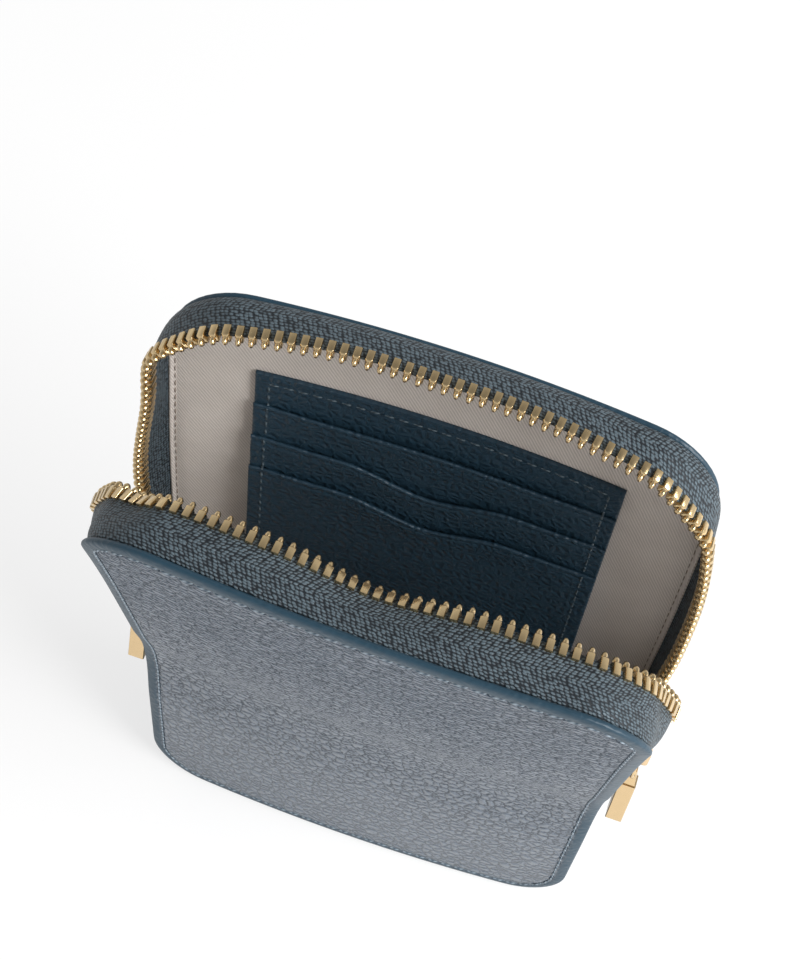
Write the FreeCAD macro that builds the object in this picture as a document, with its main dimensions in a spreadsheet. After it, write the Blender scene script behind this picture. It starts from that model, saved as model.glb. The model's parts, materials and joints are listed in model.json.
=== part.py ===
import FreeCAD, Part
import math
import os

import Sketcher
from FreeCAD import Placement, Rotation, Vector

# Zip-around phone pouch, open, standing on its base. Millimetres, +Z up, the front towards -Y,
# the origin at the middle of the base. The front panel is made shut and then leans open.

doc = FreeCAD.newDocument("phone_pouch")
sheet = doc.addObject("Spreadsheet::Sheet", "Sizes")

DRIVING_SIZES = [
    ("panel_width", 112), ("panel_height", 180), ("top_corner", 12), ("foot_corner", 9),
    ("pouch_depth", 26), ("front_bow", 2.7), ("back_bow", 4.2),
    ("leather", 1.2), ("board", 0.8), ("lining", 0.5),
    ("welt", 1), ("seam_margin", 4), ("board_margin", 1), ("board_corner", 5), ("layer_clearance", 0.2),
    ("fold_height", 64), ("fold_gap", 0.5), ("open_angle", 15.5),
    ("tape_width", 8), ("tape_thickness", 0.6), ("side_flare", 12), ("front_droop", 20), ("back_rise", 28),
    ("end_rise", 7), ("tape_clearance", 0.12),
    ("tooth_pitch", 2.5), ("tooth_thickness", 1.25), ("tooth_height", 2.4), ("tooth_grip", 1.6),
    ("tooth_head", 2.8), ("tooth_shoulder", 2), ("tooth_tip", 1.2), ("tooth_clearance", 0.1),
    ("stop_thickness", 2.2), ("stop_rise", 1.8),
    ("slider_length", 11.5), ("slider_mouth", 9.5), ("slider_tail", 7), ("slider_wall", 0.9),
    ("slider_clearance", 0.25), ("slider_lift", 0.5), ("slider_round", 1.1),
    ("post_width", 1.4), ("post_length", 3),
    ("bail_length", 6.6), ("bail_width", 1.8), ("bail_eye_length", 4.2), ("bail_eye", 2.6),
    ("bail_wall", 1.2), ("bail_round", 1),
    ("ring_radius", 3.4), ("ring_wire", 0.45),
    ("bar_side", 4), ("bar_length", 14.5), ("bar_taper", 5), ("bar_tip", 2), ("bar_bevel", 0.3),
    ("eye_radius", 0.8), ("eye_depth", 1.3), ("pull_lean", 12),
    ("card_width", 76), ("card_drop", 20), ("card_foot", 70), ("card_leather", 1), ("pocket_leather", 0.8),
    ("first_slot", 10.5), ("slot_step", 11.2), ("pocket_reach", 46),
    ("thumb_width", 32), ("thumb_depth", 4.5),
]

for row, (alias, number) in enumerate(DRIVING_SIZES, start=1):
    sheet.set(f"A{row}", alias.replace("_", " "))
    sheet.set(f"B{row}", str(number))
    sheet.setAlias(f"B{row}", alias)
doc.recompute()


def size(expression):
    """The value of a cell, or of a sum of cells, in the sheet."""
    return float(sheet.evalExpression(expression))


def bind(thing, **sizes):
    """Tie properties of an object to the sheet; a double underscore stands for a dot."""
    for name, expression in sizes.items():
        thing.setExpression(name.replace("__", "."), expression)


# Sums of cells that several pieces share.
HALF_WIDTH = "Sizes.panel_width / 2"
HALF_DEPTH = "Sizes.pouch_depth / 2"
FRONT_RADIUS = f"(({HALF_WIDTH})^2 + Sizes.front_bow^2) / (2 * Sizes.front_bow)"
BACK_RADIUS = f"(({HALF_WIDTH})^2 + Sizes.back_bow^2) / (2 * Sizes.back_bow)"
SPARE = "Sizes.pouch_depth"

EDGE_LEATHER = "Sizes.welt + Sizes.leather"
LINING_INSET = f"{EDGE_LEATHER} + Sizes.lining + Sizes.layer_clearance"
BOARD_INSET = "Sizes.welt + Sizes.tape_thickness + Sizes.seam_margin + Sizes.board_margin"
FLOOR_LINING = "Sizes.leather + Sizes.lining + Sizes.layer_clearance"

FOLD_Y = "-(Sizes.pouch_depth / 2 + Sizes.front_bow)"
BELOW_FOLD = "Sizes.fold_height - Sizes.fold_gap / 2"
ABOVE_FOLD = "Sizes.fold_height + Sizes.fold_gap / 2"
ZIP_FOOT = "Sizes.fold_height + Sizes.fold_gap"

TAPE_INSET = "Sizes.welt + Sizes.tape_thickness / 2"
SLIDER_X = (f"{HALF_WIDTH} - ({TAPE_INSET}) + (Sizes.tape_width + "
            "(Sizes.tooth_head - Sizes.tooth_grip) / 2) * sin(Sizes.side_flare)")
SLIDER_Z = f"{ZIP_FOOT} + Sizes.slider_lift + Sizes.slider_length / 2"
CHANNEL = ("Sizes.tooth_height * cos(Sizes.side_flare) + (Sizes.tooth_head + Sizes.tooth_grip) "
           "* sin(Sizes.side_flare) + 2 * Sizes.slider_clearance")
WING_FACE = f"({CHANNEL}) / 2 + Sizes.slider_wall"
RING_X = f"{SLIDER_X} + {WING_FACE} + Sizes.bail_eye / 2"

finished = []


def finish(thing, label):
    """Name a sub-part and put it on the list of files to write."""
    thing.Label = label
    finished.append(thing)
    return thing


def lean_open(thing):
    """Turn a piece of the front flap forward about the fold, from shut to the open rest pose."""
    turn = Rotation(Vector(1, 0, 0), size("Sizes.open_angle"))
    fold = Vector(0, size(FOLD_Y), size("Sizes.fold_height"))
    thing.Placement = Placement(fold - turn.multVec(fold), turn)
    if thing.TypeId == "Part::Feature":
        return
    bind(
        thing,
        Placement__Rotation__Angle="Sizes.open_angle",
        Placement__Base__y=f"{FOLD_Y} - ({FOLD_Y}) * cos(Sizes.open_angle)"
                           " + Sizes.fold_height * sin(Sizes.open_angle)",
        Placement__Base__z=f"Sizes.fold_height - ({FOLD_Y}) * sin(Sizes.open_angle)"
                           " - Sizes.fold_height * cos(Sizes.open_angle)",
    )


# Bodies: sketches, pads and rounded edges

def plane_of(body, role):
    return next(plane for plane in body.Origin.OriginFeatures if plane.Role == role)


def sketch_on(body, name, role, offset=None):
    """An empty sketch on one of the body's own planes, raised by an expression if one is given."""
    sketch = body.newObject("Sketcher::SketchObject", name)
    sketch.AttachmentSupport = [(plane_of(body, role), "")]
    sketch.MapMode = "FlatFace"
    if offset:
        bind(sketch, AttachmentOffset__Base__z=offset)
    return sketch


def measured(sketch, kind, first, second, expression):
    """A dimension between two (line, end) points of a sketch, driven by the sheet."""
    value = size(expression)
    number = sketch.addConstraint(Sketcher.Constraint(kind, *first, *second, value))
    sketch.setExpression(f"Constraints[{number}]", expression)


def closed_quad(sketch, corners):
    """Four joined lines, in the order foot, right side, top, left side."""
    for start, end in zip(corners, corners[1:] + corners[:1]):
        sketch.addGeometry(Part.LineSegment(Vector(*start, 0), Vector(*end, 0)))
    for line in range(4):
        sketch.addConstraint(Sketcher.Constraint("Coincident", line, 2, (line + 1) % 4, 1))


def draw_trapezoid(sketch, foot_width, top_width, low, high):
    """A four-sided outline, even about the upright axis, which is line -2; low and high are heights
    over the sketch's origin, which is point (-1, 1)."""
    foot, top, bottom_y, top_y = size(foot_width) / 2, size(top_width) / 2, size(low), size(high)
    closed_quad(sketch, [(-foot, bottom_y), (foot, bottom_y), (top, top_y), (-top, top_y)])
    for line in (0, 2):
        sketch.addConstraint(Sketcher.Constraint("Symmetric", line, 1, line, 2, -2))
    measured(sketch, "DistanceX", (0, 1), (0, 2), foot_width)
    measured(sketch, "DistanceX", (2, 2), (2, 1), top_width)
    for line, expression, level in ((0, low, bottom_y), (2, high, top_y)):
        if level >= 0:
            measured(sketch, "DistanceY", (-1, 1), (line, 1), expression)
        else:
            measured(sketch, "DistanceY", (line, 1), (-1, 1), f"-({expression})")


def pad(body, sketch, name, length, midplane=False, backward=False):
    feature = body.newObject("PartDesign::Pad", name)
    feature.Profile = sketch
    feature.Midplane = midplane
    feature.Reversed = backward
    bind(feature, Length=length)
    doc.recompute()
    return feature


def round_edges(body, base, name, radius, wanted):
    """Fillet the edges of a feature that a test picks."""
    feature = body.newObject("PartDesign::Fillet", name)
    edges = [f"Edge{number}" for number, edge in enumerate(base.Shape.Edges, start=1) if wanted(edge)]
    feature.Base = (base, edges)
    bind(feature, Radius=radius)
    doc.recompute()
    return feature


def runs_along(edge, direction):
    ends = edge.Vertexes[0].Point - edge.Vertexes[-1].Point
    return ends.Length > 0 and abs(ends.normalize().dot(direction)) > 0.999


def blank(name, inset, low, high, foot_round=None, top_round=None, span="front"):
    """A straight block with the outline of a panel, as deep as the pouch on one side or on both."""
    body = doc.addObject("PartDesign::Body", name)
    outline = sketch_on(body, f"{name}_outline", "XZ_Plane")
    width = f"Sizes.panel_width - 2 * ({inset})"
    draw_trapezoid(outline, width, width, low, high)
    block = pad(body, outline, f"{name}_pad", f"{SPARE} * {2 if span == 'both' else 1}",
                midplane=span == "both", backward=span == "back")
    for radius, level in ((foot_round, low), (top_round, high)):
        if radius is None:
            continue
        height = size(level)
        block = round_edges(
            body, block, f"{name}_corners_{level == high:d}", radius,
            lambda edge: runs_along(edge, Vector(0, 1, 0)) and abs(edge.CenterOfMass.z - height) < 1e-6)
    return body


# Bowed shells: rings between two upright cylinders, trimmed to a panel's outline

cylinders = {}


def bow_cylinder(side, depth):
    """The cylinder that a layer's face follows, as deep below the outer face as the layers over it."""
    key = (side, depth)
    if key not in cylinders:
        cylinder = doc.addObject("Part::Cylinder", f"{side}_bow_{len(cylinders)}")
        radius, bow, sign = {"front": (FRONT_RADIUS, "Sizes.front_bow", 1),
                             "back": (BACK_RADIUS, "Sizes.back_bow", -1)}[side]
        bind(
            cylinder,
            Radius=f"{radius} - ({depth})",
            Height=f"Sizes.panel_height + 2 * {SPARE}",
            Placement__Base__y=f"{sign} * ({radius} - {HALF_DEPTH} - {bow})",
            Placement__Base__z=f"-{SPARE}",
        )
        cylinders[key] = cylinder
    return cylinders[key]


def boolean(kind, name, base, tool):
    thing = doc.addObject(f"Part::{kind}", name)
    thing.Base = base
    thing.Tool = tool
    return thing


def bowed_plate(label, side, block, outer, inner):
    """A sheet of the panel between two depths below the outer face, cut to the block's outline."""
    shell = boolean("Cut", f"{label}_shell", bow_cylinder(side, outer), bow_cylinder(side, inner))
    return boolean("Common", f"{label}_plate", block, shell)


LAYERS = {
    "leather": ("0", "Sizes.leather"),
    "board": ("Sizes.leather", "Sizes.leather + Sizes.board"),
    "lining": ("Sizes.leather + Sizes.board", "Sizes.leather + Sizes.board + Sizes.lining"),
}
LAYER_INSETS = {"leather": "0", "board": BOARD_INSET, "lining": LINING_INSET}


def layer_blank(name, layer, low, high, span, foot=True, top=True):
    """The outline of one layer: leather to the edge, lining and board set back from it."""
    corners = {
        "leather": ("Sizes.foot_corner", "Sizes.top_corner"),
        "board": ("Sizes.board_corner", "Sizes.board_corner"),
        "lining": (f"Sizes.foot_corner - ({FLOOR_LINING})", f"Sizes.top_corner - ({LINING_INSET})"),
    }[layer]
    lift = "0" if layer == "leather" else FLOOR_LINING
    low = lift if foot else low
    high = f"Sizes.panel_height - ({LAYER_INSETS[layer]})" if top else high
    return blank(name, LAYER_INSETS[layer], low, high, corners[0] if foot else None,
                 corners[1] if top else None, span)


# Back panel: leather, stiffener board and lining, from the outside in

for layer, label in (("leather", "back_panel"), ("board", "back_stiffener"), ("lining", "back_lining")):
    block = layer_blank(f"{label}_block", layer, None, None, "back")
    finish(bowed_plate(label, "back", block, *LAYERS[layer]), label)


# Front panel: one sheet of each layer on the real pouch, parted here at the fold it bends along

for layer, label in (("leather", "front_panel"), ("board", "front_stiffener"), ("lining", "front_lining")):
    block = layer_blank(f"{label}_lower_block", layer, None, BELOW_FOLD, "front", top=False)
    finish(bowed_plate(f"{label}_lower", "front", block, *LAYERS[layer]), f"{label}_lower")
    block = layer_blank(f"{label}_upper_block", layer, ABOVE_FOLD, None, "front", foot=False)
    flap = finish(bowed_plate(f"{label}_upper", "front", block, *LAYERS[layer]), f"{label}_upper")
    lean_open(flap)


# Gusset: a strip of leather bent up round the foot and both sides, with its own lining

between_panels = boolean("Common", "between_panels", bow_cylinder("front", "Sizes.leather"),
                         bow_cylinder("back", "Sizes.leather"))


def gusset_strip(label, inset, thickness):
    """A U-shaped strip: an outer block less an inner one, trimmed between the two panels."""
    deeper = f"{inset} + {thickness}"
    outer = blank(f"{label}_outer", f"Sizes.welt + {inset}", inset, BELOW_FOLD,
                  f"Sizes.foot_corner - ({inset})", span="both")
    inner = blank(f"{label}_inner", f"Sizes.welt + {deeper}", deeper, f"{BELOW_FOLD} + Sizes.welt",
                  f"Sizes.foot_corner - ({deeper})", span="both")
    strip = boolean("Cut", f"{label}_strip", outer, inner)
    finish(boolean("Common", f"{label}_trimmed", strip, between_panels), label)


gusset_strip("gusset", "0", "Sizes.leather")
gusset_strip("gusset_lining", "Sizes.leather", "Sizes.lining")


# Card holder: a leather backing sewn to the back lining, with three pockets stacked on it

CARD_INSET = "(Sizes.panel_width - Sizes.card_width) / 2"
CARD_FACE = "Sizes.leather + Sizes.board + Sizes.lining"
POCKET_FACE = f"{CARD_FACE} + Sizes.card_leather"
CARD_TOP = "Sizes.panel_height - Sizes.card_drop"
SLOT_EDGE = f"{CARD_TOP} - Sizes.first_slot"

block = blank("card_backing_block", CARD_INSET, "Sizes.card_foot", CARD_TOP, span="back")
finish(bowed_plate("card_backing", "back", block, CARD_FACE, POCKET_FACE), "card_backing")

THUMB_RADIUS = "((Sizes.thumb_width / 2)^2 + Sizes.thumb_depth^2) / (2 * Sizes.thumb_depth)"


def thumb_dip(pocket, edge):
    """The shallow round dip in the middle of a pocket's upper edge."""
    cutter = doc.addObject("Part::Cylinder", f"{pocket.Name}_dip")
    cutter.Placement = Placement(Vector(0, 0, 0), Rotation(Vector(1, 0, 0), -90))
    bind(cutter, Radius=THUMB_RADIUS, Height=SPARE,
         Placement__Base__z=f"{edge} + {THUMB_RADIUS} - Sizes.thumb_depth")
    return boolean("Cut", f"{pocket.Name}_dipped", pocket, cutter)


for number, label in enumerate(("card_pocket_top", "card_pocket_middle", "card_pocket_front")):
    edge = f"{SLOT_EDGE} - {number} * Sizes.slot_step"
    foot = "Sizes.card_foot" if label == "card_pocket_front" else f"{edge} - Sizes.pocket_reach"
    block = blank(f"{label}_block", CARD_INSET, foot, edge, span="back")
    outer = f"{POCKET_FACE} + {number} * Sizes.pocket_leather"
    pocket = bowed_plate(label, "back", block, outer, f"{outer} + Sizes.pocket_leather")
    finish(thumb_dip(pocket, edge) if number else pocket, label)


# Zip: each half is a woven tape, sewn in along the panel's edge, with metal teeth clamped on it

class ZipHalf:
    """The line along a panel's edge that one tape is sewn to, from the left foot to the right foot."""

    def __init__(self, side):
        self.sign = {"front": 1, "back": -1}[side]
        radius, bow, mid_slope = {"front": (FRONT_RADIUS, "Sizes.front_bow", "-Sizes.front_droop"),
                                  "back": (BACK_RADIUS, "Sizes.back_bow", "Sizes.back_rise")}[side]
        self.bow_radius = size(f"{radius} - Sizes.leather - Sizes.tape_clearance")
        self.bow_centre = self.sign * size(f"{radius} - {HALF_DEPTH} - {bow}")
        self.half = size(f"{HALF_WIDTH} - ({TAPE_INSET})")
        self.top = size(f"Sizes.panel_height - ({TAPE_INSET})")
        self.corner = size(f"Sizes.top_corner - ({TAPE_INSET})")
        self.foot = size(ZIP_FOOT)
        self.flare = math.radians(size("Sizes.side_flare"))
        self.mid_slope = math.radians(size(mid_slope))
        self.end_slope = math.radians(size("Sizes.end_rise"))
        self.side_run = self.top - self.corner - self.foot
        self.corner_run = self.corner * math.pi / 2
        self.top_run = 2 * (self.half - self.corner)
        self.length = 2 * self.side_run + 2 * self.corner_run + self.top_run

    def outline(self, run):
        """The point (x, z) and the outward direction, at a length along the line."""
        mirrored = run > self.length / 2
        run = self.length - run if mirrored else run
        if run <= self.side_run:
            spot, out = (-self.half, self.foot + run), (-1.0, 0.0)
        elif run <= self.side_run + self.corner_run:
            turn = (run - self.side_run) / self.corner
            out = (-math.cos(turn), math.sin(turn))
            spot = (-self.half + self.corner + self.corner * out[0],
                    self.top - self.corner + self.corner * out[1])
        else:
            along = run - self.side_run - self.corner_run
            spot, out = (-self.half + self.corner + along, self.top), (0.0, 1.0)
        if mirrored:
            spot, out = (-spot[0], spot[1]), (-out[0], out[1])
        return spot, out

    def on_leather(self, x, z):
        """The point just clear of the leather's inner face, above a spot of the outline."""
        rise = math.sqrt(self.bow_radius ** 2 - x ** 2)
        return Vector(x, self.bow_centre - self.sign * rise, z)

    def frame(self, run):
        """The sewn point, the way into the pouch, outward, along the tape and square to its face."""
        (x, z), out = self.outline(run)
        point = self.on_leather(x, z)
        inward = Vector(0, self.sign, 0)
        outward = Vector(out[0], 0, out[1])
        crown = 1 - min(abs(x) / (self.half - self.corner), 1) ** 2
        top_slope = self.end_slope + (self.mid_slope - self.end_slope) * crown
        slope = self.flare + (top_slope - self.flare) * out[1] ** 2
        along = inward * math.cos(slope) + outward * math.sin(slope)
        face = outward * math.cos(slope) - inward * math.sin(slope)
        return point, inward, outward, along, face

    def stations(self):
        """Lengths along the line where the tape's section is drawn: close in the corners."""
        left = [0.0, self.side_run / 2]
        left += [self.side_run + self.corner_run * step / 16 for step in range(16)]
        start = self.side_run + self.corner_run
        top = [start + self.top_run * step / 20 for step in range(21)]
        return left + top + [self.length - run for run in reversed(left)]


def zip_tape(half):
    """The tape: a hem that lies on the leather, and the strip that stands up from it to the teeth."""
    thick = size("Sizes.tape_thickness")
    width = size("Sizes.tape_width")
    margin = size("Sizes.seam_margin")
    sections = []
    for run in half.stations():
        point, inward, outward, along, face = half.frame(run)
        free_edge = point + along * width
        hem_edge = half.on_leather(point.x - outward.x * margin, point.z - outward.z * margin)
        corners = [
            point + outward * (thick / 2),
            free_edge + face * (thick / 2),
            free_edge - face * (thick / 2),
            point + inward * thick - outward * (thick / 2),
            hem_edge + inward * thick,
            hem_edge,
        ]
        sections.append(Part.makePolygon(corners + corners[:1]))
    return Part.makeLoft(sections, True, True)


def clamped_piece(half, run, thickness):
    """A tooth or an end stop: two legs astride the tape's free edge and a head that stands past it."""
    point, inward, outward, along, face = half.frame(run)
    ahead = half.frame(min(run + thickness / 2, half.length))
    behind = half.frame(max(run - thickness / 2, 0))
    width = size("Sizes.tape_width")
    chain = ((ahead[0] + ahead[3] * width) - (behind[0] + behind[3] * width)).normalize()
    across = face - chain * face.dot(chain)
    across.normalize()
    forward = along - chain * along.dot(chain) - across * along.dot(across)
    forward.normalize()
    gap = size("Sizes.tooth_clearance")
    inner = size("Sizes.tape_thickness / 2") + gap
    outer = size("Sizes.tooth_height / 2")
    grip = size("Sizes.tooth_grip")
    shoulder = size("Sizes.tooth_shoulder")
    head = size("Sizes.tooth_head")
    tip = size("Sizes.tooth_tip / 2")
    profile = [(-grip, inner), (-grip, outer), (shoulder, outer), (head, tip), (head, -tip),
               (shoulder, -outer), (-grip, -outer), (-grip, -inner), (gap, -inner), (gap, inner)]
    start = point + along * width - chain * (thickness / 2)
    corners = [start + forward * reach + across * height for reach, height in profile]
    outline = Part.Face(Part.makePolygon(corners + corners[:1]))
    return outline.extrude(chain * thickness)


def edge_length(half, reach):
    """Lengths along the sewn line, and along the line that the teeth follow, on a fine walk."""
    steps = 600
    runs = [half.length * step / steps for step in range(steps + 1)]
    points = []
    for run in runs:
        frame = half.frame(run)
        points.append(frame[0] + frame[3] * reach)
    lengths = [0.0]
    for first, second in zip(points, points[1:]):
        lengths.append(lengths[-1] + (second - first).Length)
    return runs, lengths


def run_at(runs, lengths, wanted):
    """The length along the sewn line that lies under a length along the teeth."""
    for number in range(1, len(lengths)):
        if lengths[number] >= wanted:
            share = (wanted - lengths[number - 1]) / (lengths[number] - lengths[number - 1])
            return runs[number - 1] + share * (runs[number] - runs[number - 1])
    return runs[-1]


def zip_teeth(half):
    """Teeth at one pitch from above the left slider, round the top, to above the right slider."""
    pitch = size("Sizes.tooth_pitch")
    runs, lengths = edge_length(half, size("Sizes.tape_width"))
    first = size(f"{SLIDER_Z} + Sizes.slider_length / 2 - ({ZIP_FOOT})") + pitch / 2
    room = lengths[-1] - 2 * first
    count = int(room / pitch) + 1
    start = (lengths[-1] - (count - 1) * pitch) / 2
    thick = size("Sizes.tooth_thickness")
    return Part.makeCompound([
        clamped_piece(half, run_at(runs, lengths, start + number * pitch), thick) for number in range(count)])


def zip_stops(half):
    """One end stop at each foot of the tape, which the slider cannot pass."""
    rise = size("Sizes.stop_rise")
    thick = size("Sizes.stop_thickness")
    return Part.makeCompound([clamped_piece(half, run, thick) for run in (rise, half.length - rise)])


for side in ("back", "front"):
    half = ZipHalf(side)
    for label, maker in ((f"{side}_zip_tape", zip_tape), (f"{side}_zip_teeth", zip_teeth),
                         (f"{side}_end_stops", zip_stops)):
        piece = finish(doc.addObject("Part::Feature", label), label)
        piece.Shape = maker(half)
        if side == "front":
            lean_open(piece)


# Sliders: two wings with a post between them, and a bail on the outer wing that holds the pull's ring

UPRIGHT = Rotation(Vector(1, 1, 1), 120)
ALONG_X, ALONG_Y, ALONG_Z = Vector(1, 0, 0), Vector(0, 1, 0), Vector(0, 0, 1)


def seat_on_side(thing, side, x_expression, z_expression):
    """Stand a piece at the left or right side of the pouch, its outer face outward."""
    turn = UPRIGHT if side == "right" else Rotation(Vector(0, 0, 1), 180).multiply(UPRIGHT)
    thing.Placement = Placement(Vector(0, 0, 0), turn)
    sign = 1 if side == "right" else -1
    bind(thing, Placement__Base__x=f"{sign} * ({x_expression})", Placement__Base__z=z_expression)


def slider_body(side):
    label = f"{side}_slider_body"
    body = doc.addObject("PartDesign::Body", label)
    half_gap = f"({CHANNEL}) / 2"
    half_length = "Sizes.slider_length / 2"
    for wing, level in (("inner", f"-({half_gap}) - Sizes.slider_wall"), ("outer", half_gap)):
        outline = sketch_on(body, f"{label}_{wing}_outline", "XY_Plane", level)
        draw_trapezoid(outline, "Sizes.slider_tail", "Sizes.slider_mouth", f"-{half_length}", half_length)
        if wing == "inner":
            pad(body, outline, f"{label}_{wing}_wing", "Sizes.slider_wall")
            post = sketch_on(body, f"{label}_post_outline", "XY_Plane", f"-({half_gap})")
            draw_trapezoid(post, "Sizes.post_width", "Sizes.post_width",
                           f"{half_length} - Sizes.post_length", half_length)
            pad(body, post, f"{label}_post", CHANNEL)
        else:
            wings = pad(body, outline, f"{label}_{wing}_wing", "Sizes.slider_wall")
    reach = size("Sizes.post_width")
    round_edges(body, wings, f"{label}_corners", "Sizes.slider_round",
                lambda edge: runs_along(edge, ALONG_Z) and abs(edge.CenterOfMass.x) > reach)
    seat_on_side(body, side, SLIDER_X, SLIDER_Z)
    return finish(body, label)


def slider_bail(side):
    label = f"{side}_slider_bail"
    body = doc.addObject("PartDesign::Body", label)
    outline = sketch_on(body, f"{label}_outline", "XY_Plane", WING_FACE)
    draw_trapezoid(outline, "Sizes.bail_width", "Sizes.bail_width", "-Sizes.bail_length / 2",
                   "Sizes.bail_length / 2")
    arch = pad(body, outline, f"{label}_arch", "Sizes.bail_eye + Sizes.bail_wall")
    eye = sketch_on(body, f"{label}_eye_outline", "YZ_Plane")
    draw_trapezoid(eye, "Sizes.bail_eye_length", "Sizes.bail_eye_length", WING_FACE,
                   f"{WING_FACE} + Sizes.bail_eye")
    whole = arch.Shape.Volume
    cut = body.newObject("PartDesign::Pocket", f"{label}_eye")
    cut.Profile = eye
    cut.Midplane = True
    bind(cut, Length="2 * Sizes.bail_width")
    doc.recompute()
    if cut.Shape.Volume >= whole:
        raise RuntimeError(f"{label}: the eye removes nothing")
    crown = size(f"{WING_FACE} + Sizes.bail_eye + Sizes.bail_wall")
    reach = size("Sizes.bail_length / 2")
    round_edges(body, cut, f"{label}_corners", "Sizes.bail_round",
                lambda edge: runs_along(edge, ALONG_X) and abs(edge.CenterOfMass.z - crown) < 1e-6
                and abs(abs(edge.CenterOfMass.y) - reach) < 1e-6)
    seat_on_side(body, side, SLIDER_X, SLIDER_Z)
    return finish(body, label)


# Pulls: a round wire ring through the bail, and a square bar with a tapered, drilled head on the ring

def hang_on_bail(thing, side, drop):
    """Hang a piece below the bail's eye, leaning a little to the front."""
    seat_on_side(thing, side, RING_X, f"{SLIDER_Z} - ({drop}) * cos(Sizes.pull_lean)")
    bind(thing, Placement__Base__y=f"-({drop}) * sin(Sizes.pull_lean)")
    lean = Rotation(Vector(1, 0, 0), -size("Sizes.pull_lean"))
    thing.Placement = Placement(thing.Placement.Base, lean.multiply(thing.Placement.Rotation))


def pull_ring(side):
    label = f"{side}_pull_ring"
    ring = doc.addObject("Part::Torus", label)
    hang_on_bail(ring, side, "Sizes.ring_radius")
    bind(ring, Radius1="Sizes.ring_radius", Radius2="Sizes.ring_wire")
    return finish(ring, label)


def draw_square(sketch, side_length):
    draw_trapezoid(sketch, side_length, side_length, f"-({side_length}) / 2", f"({side_length}) / 2")


def pull_bar(side):
    """The bar's own frame has its eye at the origin and its length down -Y."""
    label = f"{side}_pull_bar"
    body = doc.addObject("PartDesign::Body", label)
    shoulder = "Sizes.bar_taper - Sizes.eye_depth"
    square = sketch_on(body, f"{label}_square", "XZ_Plane", shoulder)
    draw_square(square, "Sizes.bar_side")
    shaft = pad(body, square, f"{label}_shaft", "Sizes.bar_length")
    shaft = round_edges(body, shaft, f"{label}_edges", "Sizes.bar_bevel",
                        lambda edge: runs_along(edge, ALONG_Y))
    wide = sketch_on(body, f"{label}_head_foot", "XZ_Plane", shoulder)
    draw_square(wide, "Sizes.bar_side - 2 * Sizes.bar_bevel")
    narrow = sketch_on(body, f"{label}_head_top", "XZ_Plane", "-Sizes.eye_depth")
    draw_square(narrow, "Sizes.bar_tip")
    head = body.newObject("PartDesign::AdditiveLoft", f"{label}_head")
    head.Profile = wide
    head.Sections = [narrow]
    doc.recompute()
    whole = head.Shape.Volume
    hole = sketch_on(body, f"{label}_hole", "YZ_Plane")
    hole.addGeometry(Part.Circle(Vector(0, 0, 0), Vector(0, 0, 1), size("Sizes.eye_radius")))
    hole.addConstraint(Sketcher.Constraint("Coincident", 0, 3, -1, 1))
    number = hole.addConstraint(Sketcher.Constraint("Radius", 0, size("Sizes.eye_radius")))
    hole.setExpression(f"Constraints[{number}]", "Sizes.eye_radius")
    eye = body.newObject("PartDesign::Pocket", f"{label}_eye")
    eye.Profile = hole
    eye.Midplane = True
    bind(eye, Length="2 * Sizes.bar_side")
    doc.recompute()
    if eye.Shape.Volume >= whole:
        raise RuntimeError(f"{label}: the eye removes nothing")
    hang_on_bail(body, side, "2 * Sizes.ring_radius")
    return finish(body, label)


for side in ("left", "right"):
    slider_body(side)
    slider_bail(side)
    pull_ring(side)
    pull_bar(side)


# Check every object, then write each sub-part to its own file

doc.recompute()
for thing in doc.Objects:
    if "Invalid" in thing.State or "Error" in thing.State:
        raise RuntimeError(f"{thing.Name} failed: {thing.State}")
for piece in finished:
    if piece.Shape.isNull() or not piece.Shape.isValid() or not piece.Shape.Solids:
        raise RuntimeError(f"{piece.Label} has no valid solid")

os.makedirs("parts", exist_ok=True)
for piece in finished:
    piece.Shape.exportStep(f"parts/{piece.Label}.step")
    box = piece.Shape.BoundBox
    print(f"{piece.Label}: {len(piece.Shape.Solids)} solids, {piece.Shape.Volume:.1f} mm3, "
          f"x {box.XMin:.2f} to {box.XMax:.2f}, y {box.YMin:.2f} to {box.YMax:.2f}, "
          f"z {box.ZMin:.2f} to {box.ZMax:.2f}")
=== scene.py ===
import json
import math

import bmesh
import bpy
import numpy as np
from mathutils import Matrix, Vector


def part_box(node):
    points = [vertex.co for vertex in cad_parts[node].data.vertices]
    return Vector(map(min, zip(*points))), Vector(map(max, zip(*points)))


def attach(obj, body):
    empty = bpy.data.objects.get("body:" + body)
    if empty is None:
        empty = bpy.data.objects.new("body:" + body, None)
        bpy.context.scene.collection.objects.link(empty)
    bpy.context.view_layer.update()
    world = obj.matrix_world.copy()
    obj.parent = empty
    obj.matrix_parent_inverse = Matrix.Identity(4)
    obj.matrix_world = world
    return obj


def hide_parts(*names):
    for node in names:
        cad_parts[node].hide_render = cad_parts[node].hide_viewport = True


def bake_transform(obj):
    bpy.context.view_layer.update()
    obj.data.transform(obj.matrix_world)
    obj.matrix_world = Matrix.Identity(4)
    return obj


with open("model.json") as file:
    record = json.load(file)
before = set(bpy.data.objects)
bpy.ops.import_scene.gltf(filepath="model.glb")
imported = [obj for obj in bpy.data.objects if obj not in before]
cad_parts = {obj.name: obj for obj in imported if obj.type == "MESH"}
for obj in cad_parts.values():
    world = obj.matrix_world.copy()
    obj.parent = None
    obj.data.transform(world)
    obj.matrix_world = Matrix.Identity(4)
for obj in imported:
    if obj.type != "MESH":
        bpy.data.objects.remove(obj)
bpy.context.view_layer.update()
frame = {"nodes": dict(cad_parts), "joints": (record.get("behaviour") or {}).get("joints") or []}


# Back panel: one piece of pebbled slate-blue leather over a board. Its edge is turned over a filler,
# which makes a round welt, and is topstitched all round. It bows outward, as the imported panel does.

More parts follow.
